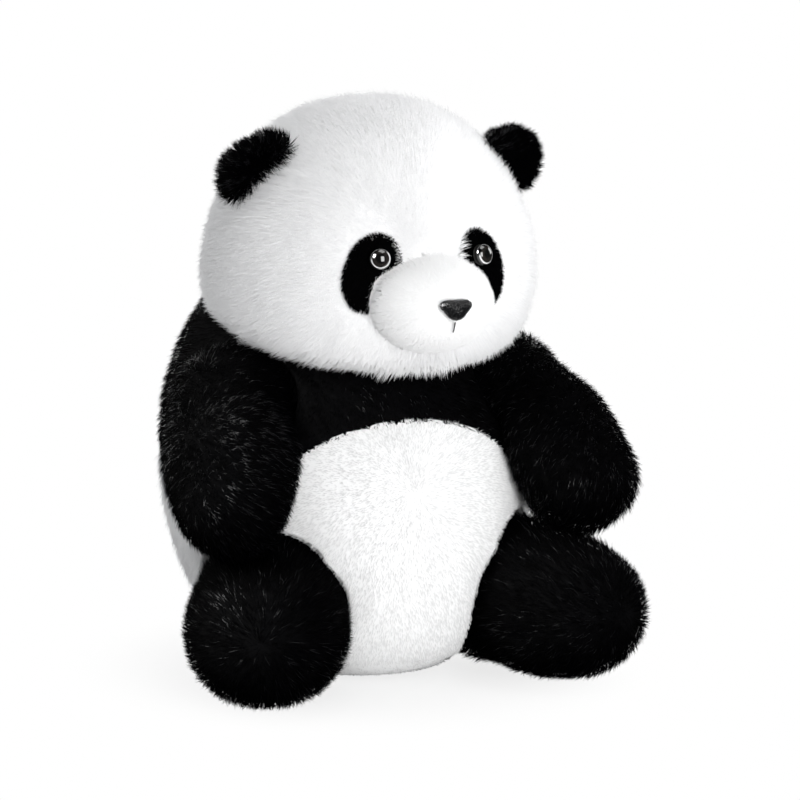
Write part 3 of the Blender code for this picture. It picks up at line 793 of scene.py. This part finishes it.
def add_skin(name, nodes, body, look, inside, voxel=CLOTH_VOXEL, inset=CLOTH_INSET, rounds=CLOTH_ROUNDS):
    """A stuffed form that rides on a body and stands for the filling in it."""
    skin = stuffed(name, nodes, voxel, inset, rounds)
    skin.data.materials.append(look)
    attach(skin, body)
    if inside:
        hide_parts(*inside)
    return skin


def add_side_skins(skins, side, look):
    """The stuffed arm, leg and ear of one side."""
    for kind in ("arm", "leg"):
        cover = f"{kind}_cover_{side}"
        fill = f"{kind}_fill_{side}"
        body = f"{side} {kind}"
        skins[f"{kind} {side}"] = add_skin(f"{kind}_stuffing_{side}", [cover, fill], body, look, [fill])
    panels = ["ear_front_" + side, "ear_back_" + side]
    skins["ear " + side] = add_skin("ear_stuffing_" + side, panels, side + " ear", look, [],
                                    SMALL_VOXEL, EAR_INSET, EAR_ROUNDS)


def make_skins(looks):
    """Every stuffed form, in the cloth that shows between the strands of its pile."""
    white = looks["white_backing"]
    filling = ["body_fill", "pellet_bag"]
    head = ["face_cover", "head_back_cover", "head_fill"]
    muzzle = ["muzzle_cover", "muzzle_fill"]
    skins = {
        "body": add_skin("body_stuffing", BODY_PANELS + filling, "body", white, filling),
        "head": add_skin("head_stuffing", head, "head", white, ["head_fill"]),
        "muzzle": add_skin("muzzle_stuffing", muzzle, "head", white, ["muzzle_fill"],
                           SMALL_VOXEL, MUZZLE_INSET),
        "tail": add_skin("tail_stuffing", ["tail"], "body", white, [], SMALL_VOXEL, TAIL_INSET, TAIL_ROUNDS),
    }
    for side in SIDES:
        add_side_skins(skins, side, looks["black_backing"])
    return skins


def blacken(skin, dark_share, look):
    """Gives black backing to the faces of a skin whose points are mostly dark."""
    skin.data.materials.append(look)
    for face in skin.data.polygons:
        face.material_index = int(np.mean([dark_share[corner] for corner in face.vertices]) > 0.5)


def in_front(rows, side):
    """Which points of the head lie no further back than the rear of an eye patch."""
    return rows[:, 1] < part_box("eye_patch_" + side)[1].y + PATCH_BEHIND


def on_patch(spots, normals, side):
    """Which spots of the head's skin lie on an eye patch, a little away from its outline."""
    centre = np.array(middle_of("eye_patch_" + side))
    outward = unit(spots - centre)
    inside = beside(spots + outward * PATCH_INSET, normals, NODES["eye_patch_" + side]) < PATCH_EDGE
    return inside & in_front(spots, side)


def on_either_patch(spots, normals):
    """Which spots of the head's skin lie on one of the eye patches."""
    return on_patch(spots, normals, "left") | on_patch(spots, normals, "right")


def clear_of_patches(spots, normals):
    """Which spots of the head's skin lie on neither eye patch."""
    return ~on_either_patch(spots, normals)


def bridge_share(rows):
    """1 on the strip between the eyes just above the muzzle, and 0 away from it."""
    low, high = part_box("muzzle_cover")
    narrow, wide = BRIDGE_HALF_WIDTH
    full, top = BRIDGE_TOP
    across = step_up(-np.abs(rows[:, 0]), -wide, -narrow)
    below = step_up(rows[:, 2], low.z, high.z - BRIDGE_OVERLAP)
    above = step_up(-rows[:, 2], -high.z - top, -high.z - full)
    return across * below * above


def halves_of(rows):
    """Which points lie on each side of the toy's middle."""
    return {"left": rows[:, 0] > 0, "right": rows[:, 0] <= 0}


def dress_head(looks, skins):
    """The head's long pile, shorter round the eyes and the muzzle."""
    skin = skins["head"]
    rows = places(skin)
    normals = skin_normals(skin)
    front = in_front(rows, "left")
    over = np.minimum(*(beside(rows, normals, NODES["eye_patch_" + side]) for side in SIDES))
    over = np.where(front, over, 1.0)
    blacken(skin, on_either_patch(rows, normals), looks["black_backing"])
    muzzle = distance_to(rows, skins["muzzle"], signed=True)
    eyes = np.minimum(*(distance_to(rows, NODES["eye_dome_" + side]) for side in SIDES))
    ears = np.minimum(*(distance_to(rows, skins["ear " + side], signed=True) for side in SIDES))
    neck = distance_to(rows, skins["body"], signed=True)
    keep = step_up(muzzle, *HEAD_AT_MUZZLE) * step_up(ears, *HIDDEN) * step_up(neck, *HEAD_AT_NECK)
    trim = cut_short(over, *CUT_AT_PATCH) * cut_short(eyes, *CUT_AT_EYE) * cut_short(muzzle, *CUT_AT_MUZZLE)
    low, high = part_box("muzzle_cover")
    flow = from_point((0, low.y, high.z), FACE_DROOP)
    grow("bridge_pile", skin, BRIDGE_WHITE, STRANDS["bridge"], keep * front * bridge_share(rows), flow,
         looks["white"], "head", ["face_cover"], SEEDS["bridge"], None, clear_of_patches)
    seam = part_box("face_cover")[1].y
    face = keep * (rows[:, 1] < seam)
    rear = keep * (rows[:, 1] >= seam)
    for count, (side, half) in enumerate(halves_of(rows).items()):
        grow("face_pile_" + side, skin, LONG_WHITE, STRANDS["face"], face * half, flow, looks["white"],
             "head", ["face_cover"], SEEDS["face"] + count, trim, clear_of_patches)
        grow("head_back_pile_" + side, skin, LONG_WHITE, STRANDS["head back"], rear * half, flow,
             looks["white"], "head", ["head_back_cover"], SEEDS["head back"] + count, trim)


def dress_muzzle(looks, skins):
    """The muzzle's short pile, shortest round the nose and the mouth and longer at the seam."""
    skin = skins["muzzle"]
    rows = places(skin)
    nose = distance_to(rows, NODES["nose"])
    mouth = distance_to(rows, NODES["mouth_stitch"])
    seam = distance_to(rows, skins["head"], signed=True)
    keep = step_up(nose, *MUZZLE_AT_NOSE) * step_up(seam, *MUZZLE_AT_HEAD)
    trim = cut_short(np.minimum(nose, mouth), *CUT_AT_MOUTH)
    upper = step_up(rows[:, 2], middle_of("muzzle_cover").z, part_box("muzzle_cover")[1].z)
    trim *= 1 + (MUZZLE_EDGE + MUZZLE_TOP_EDGE * upper) * (1 - step_up(seam, *MUZZLE_ROLL))
    flow = from_point(tuple(middle_of("nose") + NOSE_ABOVE))
    grow("muzzle_pile", skin, MUZZLE_WHITE, STRANDS["muzzle"], keep, flow, looks["muzzle"], "head",
         ["muzzle_cover"], SEEDS["muzzle"], trim, tilt=MUZZLE_TILT)


def dress_patches(looks, skins):
    """Short black pile where each eye patch lies on the face."""
    skin = skins["head"]
    rows = places(skin)
    normals = skin_normals(skin)
    for count, side in enumerate(SIDES):
        node = "eye_patch_" + side
        keep = (beside(rows, normals, NODES[node]) < PATCH_REACH) * in_front(rows, side)
        trim = cut_short(distance_to(rows, NODES["eye_base_" + side]), *PATCH_CUT_AT_EYE)

        def on_this_patch(spots, upright):
            outside = distance_to(spots, skins["muzzle"], signed=True) > PATCH_OFF_MUZZLE
            return on_patch(spots, upright, side) & outside

        flow = from_point(tuple(middle_of("eye_dome_" + side)), PATCH_DROOP)
        grow("eye_patch_pile_" + side, skin, PATCH_BLACK, STRANDS["patch"], keep, flow, looks["black"],
             "head", [node], SEEDS["patch"] + count, trim, on_this_patch)


def panel_gaps(rows):
    """How far each point lies from each cloth panel of the body."""
    return np.stack([distance_to(rows, NODES[panel]) for panel in BODY_PANELS], axis=1)


def only_on(panel):
    """A test for spots that lie nearer to one cloth panel of the body than to the others."""
    place = BODY_PANELS.index(panel)

    def nearest(spots, upright):
        return panel_gaps(spots).argmin(axis=1) == place
    return nearest


def dress_body(looks, skins):
    """Pile on the body: black yoke, short white belly, long white back and seat."""
    skin = skins["body"]
    rows = places(skin)
    gaps = panel_gaps(rows)
    yoke_gap, belly_gap, back_gap, _ = gaps.T
    blacken(skin, yoke_gap < gaps[:, 1:].min(axis=1), looks["black_backing"])
    others = [item for key, item in skins.items() if key not in ("body", "muzzle")]
    buried = np.minimum.reduce([distance_to(rows, other, signed=True) for other in others])
    free = step_up(buried, *HIDDEN)
    off_floor = step_up(rows[:, 2], *AT_FLOOR)
    yoke, belly, back, seat = ((gap < gaps.min(axis=1) + PANEL_REACH) * free for gap in gaps.T)
    trim = cut_short(buried, *BODY_CUT_AT_LIMB)
    sole = trim * cut_short(rows[:, 2], *BODY_CUT_AT_FLOOR)
    rear_hem = step_up(back_gap, *REAR_HEM)
    hem = trim * cut_short(belly_gap, *YOKE_CUT_AT_BELLY)
    hem *= REAR_HEM_LENGTH + (1 - REAR_HEM_LENGTH) * rear_hem
    dense = yoke * (REAR_HEM_DENSITY - (REAR_HEM_DENSITY - 1) * rear_hem)
    grow("shoulder_yoke_pile", skin, DIM_BLACK, STRANDS["yoke"], dense, from_point(YOKE_WHORL),
         looks["black"], "body", ["shoulder_yoke"], SEEDS["yoke"], hem, only_on("shoulder_yoke"),
         shine=looks["black_shine"])
    grow("belly_pile", skin, SHORT_WHITE, STRANDS["belly"], belly * off_floor,
         from_point(BELLY_WHORL, BELLY_DROOP), looks["short"], "body", ["belly_panel"], SEEDS["belly"],
         sole, only_on("belly_panel"), tilt=BELLY_TILT)
    for count, (side, half) in enumerate(halves_of(rows).items()):
        grow("back_pile_" + side, skin, LONG_WHITE, STRANDS["back"], back * half, along(BACK_FLOW),
             looks["white"], "body", ["back_cover"], SEEDS["back"] + count, sole, only_on("back_cover"))
    grow("seat_pile", skin, SHORT_WHITE, STRANDS["seat"], seat * off_floor, from_point(SEAT_WHORL),
         looks["short"], "body", ["seat_base"], SEEDS["seat"], sole, only_on("seat_base"))


def limb_pile(kind, side, rows):
    """The pile of a limb and its flow: down and inward on an arm, and away from the toe on a leg."""
    sign = SIDES[side]
    if kind == "arm":
        return LONG_BLACK, along((-sign * 0.75, -0.3, -0.8))
    toe = rows[np.argmax(rows @ np.array((sign * 0.44, -0.9, 0.1)))]
    return DIM_BLACK, from_point(tuple(toe))


def dress_limb(kind, side, looks, skins, count):
    """Black pile on a limb, shorter at the body and the floor and longer where arm and leg meet."""
    skin = skins[f"{kind} {side}"]
    rows = places(skin)
    other_limb = "leg" if kind == "arm" else "arm"
    others = [skins["body"], skins["head"], skins[f"{other_limb} {side}"]]
    gaps = [distance_to(rows, other, signed=True) for other in others]
    keep = step_up(np.minimum.reduce(gaps), *HIDDEN) * step_up(rows[:, 2], *AT_FLOOR)
    trim = cut_short(np.minimum(*gaps[:2]), *LIMB_CUT_AT_BODY) * cut_short(rows[:, 2], *LIMB_CUT_AT_FLOOR)
    trim *= 1 + LIMB_REACH * (1 - step_up(gaps[2], *LIMB_MEETING))
    pile, flow = limb_pile(kind, side, rows)
    grow(f"{kind}_pile_{side}", skin, pile, STRANDS[kind], keep, flow, looks["black"], f"{side} {kind}",
         [f"{kind}_cover_{side}"], SEEDS[kind] + count, trim, shine=looks["black_shine"])


def dress_ear(side, looks, skins, count):
    """An ear's tufted pile, growing away from its root."""
    skin = skins["ear " + side]
    keep = step_up(distance_to(places(skin), skins["head"], signed=True), *HIDDEN)
    root = middle_of("head_fill").lerp(middle_of("ear_front_" + side), EAR_ROOT)
    nodes = ["ear_front_" + side, "ear_back_" + side]
    grow("ear_pile_" + side, skin, EAR_BLACK, STRANDS["ear"], keep, from_point(tuple(root)), looks["black"],
         side + " ear", nodes, SEEDS["ear"] + count, shine=looks["black_shine"])


def dress_tail(looks, skins):
    """The tail's long white pile, which hangs."""
    skin = skins["tail"]
    keep = step_up(distance_to(places(skin), skins["body"], signed=True), *HIDDEN)
    grow("tail_pile", skin, LONG_WHITE, STRANDS["tail"], keep, along(TAIL_FLOW), looks["white"], "body",
         ["tail"], SEEDS["tail"])


def dome_frame(side):
    """The frame of an eye's dome, its radius and its height: local Z looks out of the face, local Y up."""
    rows = places(NODES["eye_dome_" + side])
    centre = rows.mean(axis=0)
    _, _, axes = np.linalg.svd(rows - centre)
    out = Vector(axes[2])
    if out.y > 0:
        out = -out
    depth = (rows - centre) @ np.array(out)
    foot = centre + np.array(out) * depth.min()
    radius = np.linalg.norm(np.cross(rows - centre, np.array(out)), axis=1).max()
    across = Vector((0, 0, 1)).cross(out).normalized()
    turn = Matrix((across, out.cross(across), out)).transposed().to_4x4()
    return Matrix.Translation(foot) @ turn, radius, depth.max() - depth.min()


def make_eye(side, looks):
    """An eye's glossy dome: half a ball, flattened, with a flat foot."""
    frame_matrix, radius, height = dome_frame(side)
    bpy.ops.object.select_all(action="DESELECT")
    bpy.ops.mesh.primitive_uv_sphere_add(segments=DOME_SEGMENTS, ring_count=DOME_RINGS, radius=radius)
    dome = bpy.context.object
    dome.name = "eye_" + side
    bpy.ops.object.mode_set(mode="EDIT")
    bpy.ops.mesh.select_all(action="SELECT")
    bpy.ops.mesh.bisect(plane_co=(0, 0, DOME_FOOT), plane_no=(0, 0, 1), use_fill=True, clear_inner=True)
    bpy.ops.mesh.select_all(action="SELECT")
    bpy.ops.transform.resize(value=(1, 1, height / radius))
    bpy.ops.object.mode_set(mode="OBJECT")
    mesh = dome.data
    for old in list(mesh.uv_layers):
        mesh.uv_layers.remove(old)
    layer = mesh.uv_layers.new(name=MAP_NAME)
    for corner in mesh.loops:
        spot = mesh.vertices[corner.vertex_index].co
        layer.data[corner.index].uv = (0.5 + spot.x / radius / 2, 0.5 + spot.y / radius / 2)
    mesh.transform(frame_matrix)
    bpy.ops.object.shade_smooth_by_angle(angle=DOME_CREASE)
    mesh.materials.append(looks["eye"])
    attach(dome, "head")
    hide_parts("eye_dome_" + side)
    NODES["eye_base_" + side].data.materials[0] = looks["eye_base"]
    NODES["eye_washer_" + side].data.materials[0] = looks["washer"]


def make_nose(looks):
    """The moulded nose, its edges rounded, with the stem behind it."""
    nose = joined_copy("nose_button", ["nose"])
    apply_modifier(nose, "REMESH", mode="VOXEL", voxel_size=NOSE_VOXEL)
    apply_modifier(nose, "SMOOTH", factor=0.5, iterations=NOSE_ROUNDS)
    apply_modifier(nose, "SUBSURF", levels=1, render_levels=1)
    grain = bpy.data.textures.new("leather_grain", "VORONOI")
    grain.noise_scale = NOSE_CELL
    apply_modifier(nose, "DISPLACE", texture=grain, texture_coords="LOCAL", strength=NOSE_RELIEF,
                   mid_level=0.5)
    select_only(nose)
    bpy.ops.object.shade_smooth()
    nose.data.materials.append(looks["nose"])
    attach(nose, "head")
    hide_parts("nose")
    NODES["nose_washer"].data.materials[0] = looks["washer"]


def mouth_path():
    """Points down the middle of the stitched mouth, from the nose on."""
    rows = places(NODES["mouth_stitch"])
    order = np.argsort(-rows[:, 2])
    slices = np.array([rows[part].mean(axis=0) for part in np.array_split(order, MOUTH_SLICES)])
    shares = np.linspace(0, (MOUTH_SLICES - 1) * MOUTH_SHARE, MOUTH_STEPS)
    return np.stack([np.interp(shares, range(MOUTH_SLICES), slices[:, axis]) for axis in range(3)], axis=1)


def make_mouth(looks):
    """Two twisted plies of thread that follow the stitched mouth."""
    path = mouth_path()
    curve = bpy.data.curves.new("mouth", "CURVE")
    curve.dimensions = "3D"
    curve.bevel_depth = PLY_RADIUS
    curve.bevel_resolution = 3
    curve.use_fill_caps = True
    for ply in (0, math.pi):
        line = curve.splines.new("POLY")
        line.points.add(MOUTH_STEPS - 1)
        for count, point in enumerate(line.points):
            turn = ply + math.tau * MOUTH_TURNS * count / (MOUTH_STEPS - 1)
            x, y, z = path[count] + np.array((math.cos(turn), math.sin(turn), 0)) * PLY_RADIUS * PLY_SPACING
            point.co = (x, y, z, 1)
    mouth = bpy.data.objects.new("mouth_thread", curve)
    bpy.context.scene.collection.objects.link(mouth)
    select_only(mouth)
    bpy.ops.object.convert(target="MESH")
    mouth = bpy.context.object
    bpy.ops.object.shade_smooth()
    mouth.data.materials.append(looks["thread"])
    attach(mouth, "head")
    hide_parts("mouth_stitch")


def ray_kinds(tree):
    """1 for rays from the camera or through clear pieces, and 1 for rays of gloss."""
    paths = tree.nodes.new("ShaderNodeLightPath")
    either = tree.nodes.new("ShaderNodeMath")
    either.operation = "MAXIMUM"
    link(tree, paths.outputs["Is Camera Ray"], either.inputs[0])
    link(tree, paths.outputs["Is Transmission Ray"], either.inputs[1])
    return either.outputs[0], paths.outputs["Is Glossy Ray"]


def mixed_shader(tree, share, first, second):
    """Two shaders mixed; a share of 1 is the second alone."""
    node = tree.nodes.new("ShaderNodeMixShader")
    link(tree, share, node.inputs["Fac"])
    link(tree, first, node.inputs[1])
    link(tree, second, node.inputs[2])
    return node.outputs["Shader"]


def shadow_share(tree):
    """How much of the shadow shows on the floor, which fades away from the toy."""
    where = tree.nodes.new("ShaderNodeTexCoord")
    far = vector_math(tree, "LENGTH", where.outputs["Object"]).outputs["Value"]
    near, away = SHADOW_SPAN
    return smooth_range(tree, far, From_Min=near, From_Max=away, To_Min=SHADOW_SHARE, To_Max=0.0)


def make_floor():
    """A pale floor that is white to the eye, keeps a soft shadow close to the toy, and is dark in gloss."""
    bpy.ops.mesh.primitive_plane_add(size=FLOOR_SIZE)
    floor = bpy.context.object
    floor.name = "floor"
    look, tree, shader = new_look("pale_floor")
    floor.data.materials.append(look)
    set_inputs(shader, Base_Color=(0.9, 0.9, 0.9, 1), Roughness=0.9, Specular_IOR_Level=0.0)
    white = tree.nodes.new("ShaderNodeEmission")
    set_inputs(white, Color=(*WHITE, 1))
    pale = mixed_shader(tree, shadow_share(tree), white.outputs["Emission"], shader.outputs["BSDF"])
    dark = tree.nodes.new("ShaderNodeEmission")
    set_inputs(dark, Strength=GLOSS_AMBIENT)
    seen, gloss = ray_kinds(tree)
    light = mixed_shader(tree, gloss, shader.outputs["BSDF"], dark.outputs["Emission"])
    both = mixed_shader(tree, seen, light, pale)
    link(tree, both, tree.nodes["Material Output"].inputs["Surface"])


def make_world():
    """White where it is seen, a dark studio in gloss, and a dim even light on everything else."""
    world = bpy.data.worlds.new("studio")
    bpy.context.scene.world = world
    world.use_nodes = True
    tree = world.node_tree
    dim = tree.nodes["Background"]
    set_inputs(dim, Color=(0.97, 0.985, 1.0, 1), Strength=AMBIENT)
    dark = tree.nodes.new("ShaderNodeBackground")
    set_inputs(dark, Strength=GLOSS_AMBIENT)
    white = tree.nodes.new("ShaderNodeBackground")
    set_inputs(white, Color=(*WHITE, 1))
    seen, gloss = ray_kinds(tree)
    light = mixed_shader(tree, gloss, dim.outputs["Background"], dark.outputs["Background"])
    both = mixed_shader(tree, seen, light, white.outputs["Background"])
    link(tree, both, tree.nodes["World Output"].inputs["Surface"])


def add_lamp(name, place, size, power):
    """A soft box of a size and power that looks at the toy."""
    bpy.ops.object.light_add(type="AREA", location=place)
    lamp = bpy.context.object
    lamp.name = name
    lamp.data.shape = "RECTANGLE"
    lamp.data.size, lamp.data.size_y = size
    lamp.data.energy = power
    lamp.rotation_euler = (LAMP_AIM - Vector(place)).to_track_quat("-Z", "Y").to_euler()
    return lamp


def make_lamps():
    """Boxes in front, above and all round, a low fill without gloss, and a side lamp for gloss alone."""
    add_lamp("front_box", (-0.12, -2.2, 0.75), (0.9, 1.4), 22)
    fill = add_lamp("low_box", (0.1, -2.0, 0.12), (1.8, 0.22), 8.5)
    fill.visible_glossy = False
    add_lamp("top_box", (0.3, -0.4, 2.3), (1.4, 1.4), 14)
    add_lamp("back_box", (-1.3, 1.5, 1.1), (0.9, 0.9), 6)
    add_lamp("rear_box", (0.7, 2.2, 1.1), (1.3, 1.3), 30)
    add_lamp("right_box", (2.2, 0.2, 0.9), (1.0, 1.0), 10)
    sheen = add_lamp("sheen_box", (-1.6, -0.35, 1.25), (0.8, 0.8), 115)
    sheen.visible_diffuse = False


def make_camera():
    """The photo's view: a long lens to the toy's right and slightly above it."""
    bpy.ops.object.camera_add()
    camera = bpy.context.object
    level = math.cos(VIEW_RISE)
    back = Vector((math.sin(VIEW_TURN) * level, -math.cos(VIEW_TURN) * level, math.sin(VIEW_RISE)))
    camera.location = VIEW_TARGET + back * VIEW_DISTANCE
    upright = (-back).to_track_quat("-Z", "Y")
    camera.rotation_euler = (upright @ Quaternion((0, 0, 1), VIEW_ROLL)).to_euler()
    camera.data.lens = VIEW_LENS
    bpy.context.scene.camera = camera


def main():
    """Makes the looks, the toy, the studio and the camera."""
    looks = all_looks()
    skins = make_skins(looks)
    dress_head(looks, skins)
    dress_muzzle(looks, skins)
    dress_patches(looks, skins)
    dress_body(looks, skins)
    for count, side in enumerate(SIDES):
        dress_limb("arm", side, looks, skins, count)
        dress_limb("leg", side, looks, skins, count)
        dress_ear(side, looks, skins, count)
        make_eye(side, looks)
    dress_tail(looks, skins)
    make_nose(looks)
    make_mouth(looks)
    make_floor()
    make_world()
    make_lamps()
    make_camera()
    bpy.context.scene.view_settings.view_transform = "Standard"


main()
